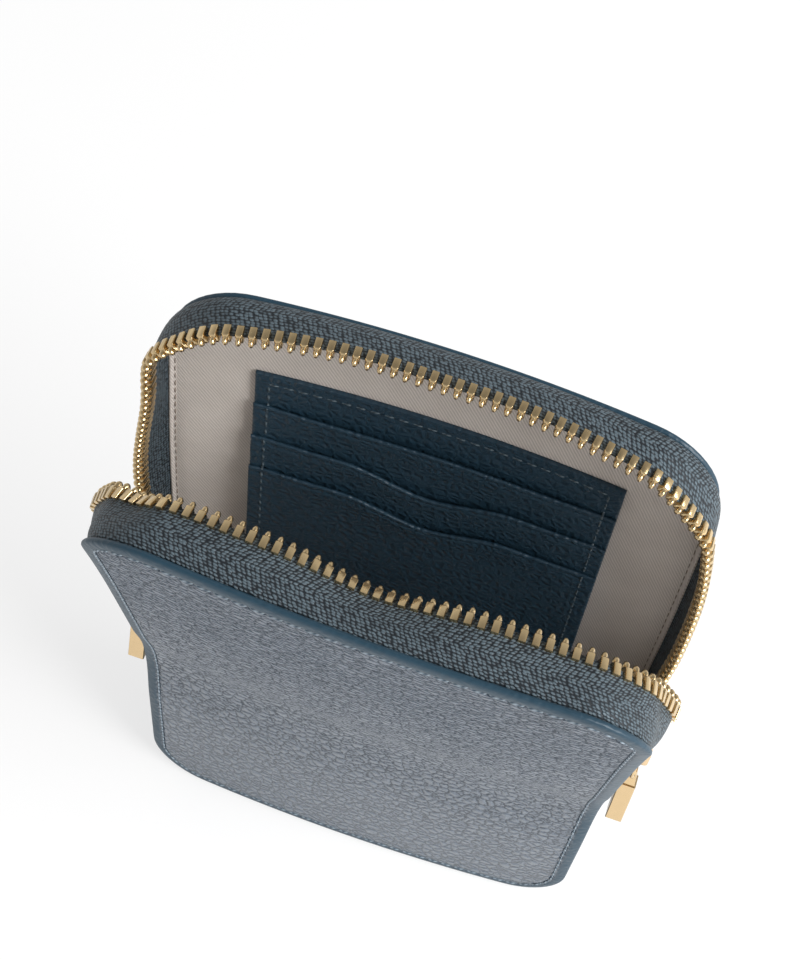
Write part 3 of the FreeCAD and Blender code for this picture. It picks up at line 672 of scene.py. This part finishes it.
class ZipHalf:
    """The line along a panel's edge that one tape is sewn to, from the left foot to the right foot."""

    def __init__(self, side):
        self.side = side
        self.inward = np.array([0.0, 1.0 if side == "front" else -1.0, 0.0])
        self.face = front_face if side == "front" else back_face
        self.half = PANEL_HALF_WIDTH - TAPE_INSET
        self.top = PANEL_HEIGHT - TAPE_INSET
        self.corner = TOP_CORNER - TAPE_INSET
        self.side_run = self.top - self.corner - ZIP_FOOT
        self.corner_run = self.corner * math.pi / 2
        self.top_run = 2 * (self.half - self.corner)
        self.length = 2 * self.side_run + 2 * self.corner_run + self.top_run
        corner_end = self.side_run + self.corner_run
        left = np.array([SLIDER_RUN, BULGE_RUN[side], SHUT_RUN, self.side_run,
                         self.side_run + self.corner_run / 2, corner_end, corner_end + self.top_run / 4])
        self.stations = np.concatenate([left, [self.length / 2], self.length - left[::-1]])
        self.leans = np.radians(TAPE_LEAN[side])

    def outline(self, run):
        """The point (x, z) and the outward direction, at a length along the line."""
        mirrored = run > self.length / 2
        run = self.length - run if mirrored else run
        if run <= self.side_run:
            x, z, out = -self.half, ZIP_FOOT + run, (-1.0, 0.0)
        elif run <= self.side_run + self.corner_run:
            turn = (run - self.side_run) / self.corner
            out = (-math.cos(turn), math.sin(turn))
            x, z = -self.half + self.corner * (1 + out[0]), self.top - self.corner * (1 - out[1])
        else:
            x, z, out = -self.half + self.corner + run - self.side_run - self.corner_run, self.top, (0.0, 1.0)
        return (-x, z, -out[0], out[1]) if mirrored else (x, z, *out)

    def seam(self, run):
        """The sewn point and the outward direction there, with the panel shut."""
        x, z, out_x, out_z = self.outline(run)
        point = np.array([x, float(self.face(np.array(x), SEAM_DEPTH)), z])
        return point, np.array([out_x, 0.0, out_z])

    def across(self, run, share):
        """A point on the tape's middle, the way on to the teeth and the way out of its face; panel shut."""
        point, outward = self.seam(run)
        lean = smooth_curve(run, self.stations, self.leans)
        curl = OUTWARD_CURL * max(lean, 0) + INWARD_CURL * min(lean, 0)

        def towards(slope):
            return self.inward * math.cos(slope) + outward * math.sin(slope)

        start = towards(lean + max(curl, SEAM_RISE[self.side]))
        chord = towards(lean)
        end = towards(lean - max(curl, EDGE_FALL[self.side]))
        rest = 1 - share
        middle = eased(share) * chord + share * rest * (rest * start - share * end)
        way = 6 * share * rest * chord + rest * (1 - 3 * share) * start + share * (3 * share - 2) * end
        way /= np.linalg.norm(way)
        slope = math.atan2(way.dot(outward), way.dot(self.inward))
        face = outward * math.cos(slope) - self.inward * math.sin(slope)
        return point + TAPE_WIDTH * middle, way, face

    def settle(self, points):
        """Points of the shut pouch, leant open where they belong to the front."""
        points = np.asarray(points)
        return lean_open(points) if self.side == "front" else rack_back(points)


FLOAT_LENGTH, FLOAT_WIDTH = 0.95 * mm, 0.58 * mm
FLOAT_SLANT = 0.55


def herringbone_tape(name, dark, light):
    """Zip tape: short, plump floats of thread on a dark ground, in slanting rows that turn back along the
    tape's middle as a herringbone."""
    material, node, finish = new_material(name)
    parts = node("SeparateXYZ", {"Vector": node("UVMap", uv_map="cut")["UV"]})
    folded = node("Math", {0: parts["Y"], 1: TAPE_WIDTH / 2}, operation="PINGPONG")["Value"]
    slanted = node("Math", {0: folded, 1: FLOAT_SLANT, 2: parts["X"]}, operation="MULTIPLY_ADD")["Value"]
    along = node("Math", {0: slanted, 1: FLOAT_LENGTH}, operation="DIVIDE")["Value"]
    across = node("Math", {0: parts["Y"], 1: FLOAT_WIDTH}, operation="DIVIDE")["Value"]
    grid = node("CombineXYZ", {"X": along, "Y": across})["Vector"]
    float_distance = node("TexVoronoi", {"Vector": grid, "Scale": 1.0, "Randomness": 0.4})["Distance"]
    floats = node("MapRange", {"Value": float_distance, "From Min": 0.64, "From Max": 0.26},
                  interpolation_type="SMOOTHSTEP")["Result"]
    fibres = node("TexNoise", {"Vector": grid, "Scale": 1.7, "Detail": 3.0})["Fac"]
    patchy = node("MapRange", {"Value": fibres, "From Min": 0.3, "From Max": 0.7})["Result"]
    fleck = node("MixRGB", {"Fac": 0.4, "Color1": floats, "Color2": patchy}, blend_type="MULTIPLY")["Color"]
    colour = node("MixRGB", {"Fac": fleck, "Color1": (*dark, 1), "Color2": (*light, 1)})["Color"]
    bump = node("Bump", {"Height": floats, "Strength": 1.0, "Distance": 0.2 * mm})["Normal"]
    finish(Base_Color=colour, Roughness=0.55, Specular_IOR_Level=0.4, Normal=bump)
    return material


slate_tape = herringbone_tape("slate_tape", (0.005, 0.009, 0.013), (0.108, 0.148, 0.175))


def zip_tape(name, half):
    """A woven band with a hem on the leather, a soft bend at the seam and a full edge for the teeth."""
    runs = np.concatenate([
        np.linspace(0, half.side_run, 50, endpoint=False),
        half.side_run + np.linspace(0, half.corner_run, 28, endpoint=False),
        half.side_run + half.corner_run + np.linspace(0, half.top_run, 60, endpoint=False)])
    runs = np.concatenate([runs, half.length - runs[runs < half.length / 2][::-1]])
    runs = np.unique(np.round(runs, 7))
    points = []
    shares = np.linspace(0, 1, 13)
    for run in runs:
        point, outward = half.seam(run)
        hem = point - outward * TAPE_HEM
        hem[1] = float(half.face(np.array(hem[0]), LEATHER + 0.12 * mm))
        rows = [half.across(run, share) for share in shares]
        outer = [middle + face * (TAPE / 2) for middle, _, face in rows]
        inner = [middle - face * (TAPE / 2) for middle, _, face in rows[::-1]]
        inner[-1] = point + half.inward * TAPE - outward * TAPE / 2
        edge = rows[-1][0] + rows[-1][1] * TAPE / 2
        points += outer + [edge] + inner + [hem + half.inward * TAPE, hem]
    count = len(points) // len(runs)
    faces = ring_faces(len(runs), count, capped=True)
    widths = [*TAPE_WIDTH * shares, TAPE_WIDTH + TAPE / 2, *TAPE_WIDTH * shares[::-1], -TAPE_HEM, -TAPE_HEM]
    steps = np.linalg.norm(np.diff(np.reshape(points, (len(runs), count, 3)), axis=0), axis=2)
    walked = np.concatenate([np.zeros((1, count)), np.cumsum(steps, axis=0)])
    walked -= walked[len(runs) // 2]
    flat = np.stack([walked, np.broadcast_to(widths, walked.shape)], axis=2).reshape(-1, 2)
    piece = mesh_piece(name, half.settle(points), faces, flat, slate_tape)
    close_middle(piece)
    return piece


def sew_to_panel(piece, side):
    """What is sewn to the front keeps its placement in its points, already leant open with the flap, and what is
    sewn to the back stands on the pouch.
    """
    if side == "front":
        bend_with_front(piece)
    else:
        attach(piece, "pouch_body")


zip_halves = (ZipHalf("back"), ZipHalf("front"))
tapes = {half.side: zip_tape(f"{half.side}_tape", half) for half in zip_halves}
for side, tape in tapes.items():
    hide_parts(f"{side}_zip_tape")
    sew_to_panel(tape, side)


# Lining hems: along the zip each lining leaves its panel and lies on the inner side of the tape, where its
# edge is turned under and sewn down by one line of thread.

HEM_REACH = 0.3 * TAPE_WIDTH
HEM_START = 8.5 * mm
HEM_RISE = 3 * mm
HEM_STITCH = 1.8 * mm


def on_hem(half):
    """A way to find points over the hem, from a length along the zip, a width on from the seam and a depth."""

    def place(run, width, depth):
        middle, _, face = half.across(float(run[0]), float(width[0]) / TAPE_WIDTH)
        return half.settle(np.array([middle - face * (TAPE / 2 + LINING - depth)]))

    return place


def lining_hem(name, half):
    """The edge of a lining from its panel to the turned edge on the tape."""
    runs = np.linspace(0.5 * mm, half.length - 0.5 * mm, 260)
    shares = np.array([0.1, 0.2, 0.4, 0.6, 0.8, 0.93, 1.0]) * HEM_REACH / TAPE_WIDTH
    lifts = np.array([1, 1, 1, 1, 1, 1, 0.7]) * LINING + TAPE / 2
    points, flat = [], []
    for run in runs:
        seam, outward = half.seam(run)
        row = []
        for inset, depth in ((HEM_START, LINING_FACE - 0.12 * mm), (HEM_RISE, LINING_FACE + 0.05 * mm)):
            spot = seam - outward * (inset - TAPE_INSET)
            spot[1] = float(half.face(np.array(spot[0]), depth))
            row.append(spot)
        laid = [half.across(run, share) for share in shares]
        row += [middle - face * lift for (middle, _, face), lift in zip(laid, lifts)]
        row += [middle - face * (TAPE / 2 + 0.04 * mm) for middle, _, face in laid[::-1]]
        under = row[0].copy()
        under[1] = float(half.face(np.array(under[0]), LINING_DEPTH + 0.1 * mm))
        points += row + [under]
        x, z, out_x, out_z = half.outline(run)
        widths = [TAPE_INSET - HEM_START, TAPE_INSET - HEM_RISE, *shares * TAPE_WIDTH,
                  *shares[::-1] * TAPE_WIDTH, TAPE_INSET - HEM_START]
        flat += [(x + out_x * width, z + out_z * width) for width in widths]
    faces = ring_faces(len(runs), len(points) // len(runs), capped=True)
    piece = mesh_piece(name, half.settle(points), faces, flat, greige_twill)
    close_middle(piece)
    piece.data.set_sharp_from_angle(angle=math.radians(50))
    return piece


for half in zip_halves:
    hem = lining_hem(f"{half.side}_hem", half)
    stitch_runs = np.linspace(2 * mm, half.length - 2 * mm, 300)
    hem_line = np.array([(run, HEM_REACH - HEM_STITCH) for run in stitch_runs])
    hem_stitch = stitch_line(f"{half.side}_hem_stitch", hem_line, on_hem(half), -0.02 * mm, greige_thread,
                             pitch=2.8 * mm, length=2.3 * mm, radius=0.2 * mm)
    for piece in (hem, hem_stitch):
        sew_to_panel(piece, half.side)


# Zip teeth: brass teeth stamped from wire and clamped over the tape's edge at one pitch, each with two
# legs and a rounded head, plated pale gold and polished. A wider end stop closes each row at its foot.

TOOTH_PITCH = 2.5 * mm
TOOTH_HALF_THICK = 0.74 * mm
TOOTH_GRIP = 1.6 * mm
TOOTH_HALF_HEIGHT = 1.2 * mm
STOP_HALF_THICK = 1.1 * mm
STOP_RISE = 1.8 * mm
FIRST_TOOTH = 13.8 * mm


def plated_gold(name, colour, roughness, scratch):
    """Gold-plated metal: warm, with a fine uneven polish."""
    material, node, finish = new_material(name)
    place = node("TexCoord")["Object"]
    haze = node("TexNoise", {"Vector": place, "Scale": 700.0, "Detail": 4.0})["Fac"]
    lines = node("TexNoise", {"Vector": node("Mapping", {"Vector": place, "Scale": (9000, 9000, 500)})["Vector"],
                              "Scale": 1.0, "Detail": 2.0})["Fac"]
    dull = [0.9 * part for part in colour]
    tone = node("MixRGB", {"Fac": haze, "Color1": (*dull, 1), "Color2": (*colour, 1)})["Color"]
    shine = node("MapRange", {"Value": haze, "To Min": roughness - 0.06, "To Max": roughness + 0.08})["Result"]
    bump = node("Bump", {"Height": lines, "Strength": scratch, "Distance": 0.01 * mm})["Normal"]
    finish(Base_Color=tone, Metallic=1.0, Roughness=shine, Normal=bump)
    return material


tooth_gold = plated_gold("tooth_gold", (0.66, 0.50, 0.28), 0.24, 0.15)

# How far forward, and the shares of height, thickness and roundness: two flat legs on the tape, then a small head.
TOOTH_SECTIONS = [
    (-TOOTH_GRIP, 0.84, 0.9, 0.3), (-0.94 * TOOTH_GRIP, 1.0, 1.0, 0.2), (0.75 * mm, 1.0, 1.0, 0.2),
    (0.98 * mm, 0.9, 0.82, 0.4), (1.14 * mm, 0.68, 0.68, 0.8), (1.45 * mm, 0.7, 0.78, 0.95),
    (1.85 * mm, 0.68, 0.74, 1.0), (2.15 * mm, 0.52, 0.56, 1.0), (2.36 * mm, 0.3, 0.32, 1.0),
    (2.45 * mm, 0.08, 0.08, 1.0),
]
TOOTH_SIDES = 16


def clamped_metal(half, runs, half_thick, name):
    """Teeth or end stops at lengths along a tape, each square to the line of its edge."""
    turns = [2 * math.pi * (side + 0.5) / TOOTH_SIDES for side in range(TOOTH_SIDES)]
    points, faces, flat = [], [], []
    for run in runs:
        edge, way, face = half.across(run, 1.0)
        root = half.settle(np.array([edge, edge - way * mm, edge + face * mm]))
        chain = half.settle(np.array([half.across(min(run + half_thick, half.length), 1.0)[0],
                                      half.across(max(run - half_thick, 0), 1.0)[0]]))
        chain = (chain[0] - chain[1]) / np.linalg.norm(chain[0] - chain[1])
        across = root[2] - root[0]
        across -= chain * across.dot(chain)
        across /= np.linalg.norm(across)
        forward = np.cross(across, chain)
        forward *= np.sign(forward.dot(root[0] - root[1]))
        faces += ring_faces(len(TOOTH_SECTIONS), TOOTH_SIDES, len(points), capped=True)
        for reach, height, thick, round_off in TOOTH_SECTIONS:
            for turn in turns:
                up, side = (math.copysign(abs(f(turn)) ** round_off, f(turn)) for f in (math.cos, math.sin))
                points.append(root[0] + forward * reach + across * TOOTH_HALF_HEIGHT * height * up
                              + chain * half_thick * thick * side)
                flat.append((reach, up * mm))
    piece = mesh_piece(name, points, faces, flat, tooth_gold)
    close_middle(piece)
    piece.data.set_sharp_from_angle(angle=math.radians(32))
    return piece


def tooth_runs(half):
    """Lengths along the seam whose teeth stand one pitch apart along the tape's free edge."""
    walked = np.linspace(0, half.length, 900)
    edge = np.array([half.across(run, 1.0)[0] for run in walked])
    lengths = np.concatenate([[0], np.cumsum(np.linalg.norm(np.diff(edge, axis=0), axis=1))])
    count = int((lengths[-1] - 2 * FIRST_TOOTH) / TOOTH_PITCH) + 1
    count -= (count + (half.side == "front")) % 2
    start = (lengths[-1] - (count - 1) * TOOTH_PITCH) / 2
    return np.interp(start + TOOTH_PITCH * np.arange(count), lengths, walked)


for half in zip_halves:
    teeth = clamped_metal(half, tooth_runs(half), TOOTH_HALF_THICK, f"{half.side}_teeth")
    stops = clamped_metal(half, (STOP_RISE, half.length - STOP_RISE), STOP_HALF_THICK, f"{half.side}_stops")
    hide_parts(f"{half.side}_zip_teeth")
    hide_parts(f"{half.side}_end_stops")
    for metal in (teeth, stops):
        sew_to_panel(metal, half.side)


# Sliders and pulls: cast zinc plated pale gold. Each slider carries a bail, a wire ring hangs in the
# bail, and a square bar with a tapered, drilled head hangs on the ring.

bar_gold = plated_gold("bar_gold", (0.72, 0.53, 0.30), 0.2, 0.1)
slider_gold = plated_gold("slider_gold", (0.83, 0.61, 0.36), 0.24, 0.1)
PULL_EDGES = 0.18 * mm

for side in ("left", "right"):
    for name, plating in (("slider_body", slider_gold), ("slider_bail", slider_gold),
                          ("pull_ring", bar_gold), ("pull_bar", bar_gold)):
        metal = frame["nodes"][f"{side}_{name}"]
        metal.data.materials.clear()
        metal.data.materials.append(plating)
        if name.startswith("slider"):
            edges = metal.modifiers.new("soft_edges", "BEVEL")
            edges.width = PULL_EDGES
            edges.segments = 2
            edges.limit_method = "ANGLE"
            edges.angle_limit = math.radians(40)
            edges.harden_normals = True


# Studio: a white table that keeps a faint shadow, a room that is bright all round and greyer overhead,
# and one large soft lamp to the right in front, whose light falls into the mouth.

FLOOR_HALF = 3.0
SHADOW_LEFT = 0.32
MIRRORED_SHADOW = 0.9
floor_mesh = bpy.data.meshes.new("studio_floor")
floor_mesh.from_pydata(
    [(x * FLOOR_HALF, y * FLOOR_HALF, 0) for x, y in ((-1, -1), (1, -1), (1, 1), (-1, 1))], [], [(0, 1, 2, 3)])
floor = bpy.data.objects.new("studio_floor", floor_mesh)
floor.location.z = -0.2 * mm
bpy.context.scene.collection.objects.link(floor)

paper, node, finish = new_material("white_paper")
finish(Base_Color=(0.97, 0.97, 0.97, 1), Roughness=0.9, Specular_IOR_Level=0.0)
surface_out = next(made for made in paper.node_tree.nodes if made.type == "OUTPUT_MATERIAL")
paper_shader = next(made for made in paper.node_tree.nodes if made.type == "BSDF_PRINCIPLED")
glow = node("Emission", {"Color": (1, 1, 1, 1), "Strength": 1.0})["Emission"]
rays = node("LightPath")
mirrored = node("Math", {0: rays["Is Glossy Ray"], 1: rays["Is Transmission Ray"]}, operation="MAXIMUM")["Value"]
mirrored = node("Math", {0: mirrored, 1: 1 - MIRRORED_SHADOW}, operation="MULTIPLY")["Value"]
seen = node("Math", {0: rays["Is Camera Ray"], 1: 1 - SHADOW_LEFT}, operation="MULTIPLY")["Value"]
share = node("Math", {0: seen, 1: mirrored}, operation="MAXIMUM")["Value"]
table = node("MixShader", {0: share, 1: paper_shader.outputs["BSDF"], 2: glow})["Shader"]
paper.node_tree.links.new(table, surface_out.inputs["Surface"])
floor_mesh.materials.append(paper)

HORIZON_LIGHT, OVERHEAD_LIGHT = 1.0, 0.25
room = bpy.data.worlds.new("studio_room")
bpy.context.scene.world = room
room.use_nodes = True
room_nodes, room_links = room.node_tree.nodes, room.node_tree.links
direction = room_nodes.new("ShaderNodeTexCoord").outputs["Generated"]
height = room_nodes.new("ShaderNodeSeparateXYZ")
room_links.new(direction, height.inputs["Vector"])
fade = room_nodes.new("ShaderNodeMapRange")
room_links.new(height.outputs["Z"], fade.inputs["Value"])
fade.inputs["To Min"].default_value = HORIZON_LIGHT
fade.inputs["To Max"].default_value = OVERHEAD_LIGHT
room_links.new(fade.outputs["Result"], room_nodes["Background"].inputs["Strength"])
room_nodes["Background"].inputs["Color"].default_value = (1, 1, 1, 1)

LAMP_PLACE = np.array([0.9, -0.25, 0.85])
softbox = bpy.data.lights.new("softbox", "AREA")
softbox.shape = "RECTANGLE"
softbox.size, softbox.size_y = 0.7, 0.7
softbox.energy = 19.0
softbox_stand = bpy.data.objects.new("softbox", softbox)
softbox_stand.location = LAMP_PLACE
softbox_stand.rotation_euler = (math.atan2(math.hypot(*LAMP_PLACE[:2]), LAMP_PLACE[2]), 0.0,
                                math.atan2(LAMP_PLACE[0], -LAMP_PLACE[1]))
bpy.context.scene.collection.objects.link(softbox_stand)


# Camera: where the photograph was taken from, high in front of the pouch and a little to its right. It is
# turned about its own line of sight, which tilts the pouch in the picture.

CAMERA_AZIMUTH = math.radians(9.43)
CAMERA_ELEVATION = math.radians(59.41)
CAMERA_ROLL = math.radians(10.07)
CAMERA_DISTANCE = 468.45 * mm
CAMERA_TARGET = np.array([-10.7, 32.16, 100.0]) * mm
FOCAL_PIXELS = 2057.1
PICTURE_HEIGHT = 960
SENSOR = 36.0

towards = np.array([math.sin(CAMERA_AZIMUTH) * math.cos(CAMERA_ELEVATION),
                    -math.cos(CAMERA_AZIMUTH) * math.cos(CAMERA_ELEVATION), math.sin(CAMERA_ELEVATION)])
level_right = np.array([math.cos(CAMERA_AZIMUTH), math.sin(CAMERA_AZIMUTH), 0.0])
level_up = np.cross(towards, level_right)
right = math.cos(CAMERA_ROLL) * level_right + math.sin(CAMERA_ROLL) * level_up
up = -math.sin(CAMERA_ROLL) * level_right + math.cos(CAMERA_ROLL) * level_up
camera_data = bpy.data.cameras.new("camera")
camera_data.sensor_width = SENSOR
camera_data.lens = FOCAL_PIXELS / PICTURE_HEIGHT * SENSOR
camera_data.clip_start = 0.01
camera = bpy.data.objects.new("camera", camera_data)
eye = CAMERA_TARGET + towards * CAMERA_DISTANCE
camera.matrix_world = [
    [right[0], right[1], right[2], 0.0], [up[0], up[1], up[2], 0.0],
    [towards[0], towards[1], towards[2], 0.0], [eye[0], eye[1], eye[2], 1.0]]
bpy.context.scene.collection.objects.link(camera)
bpy.context.scene.camera = camera
bpy.context.scene.view_settings.view_transform = "Standard"
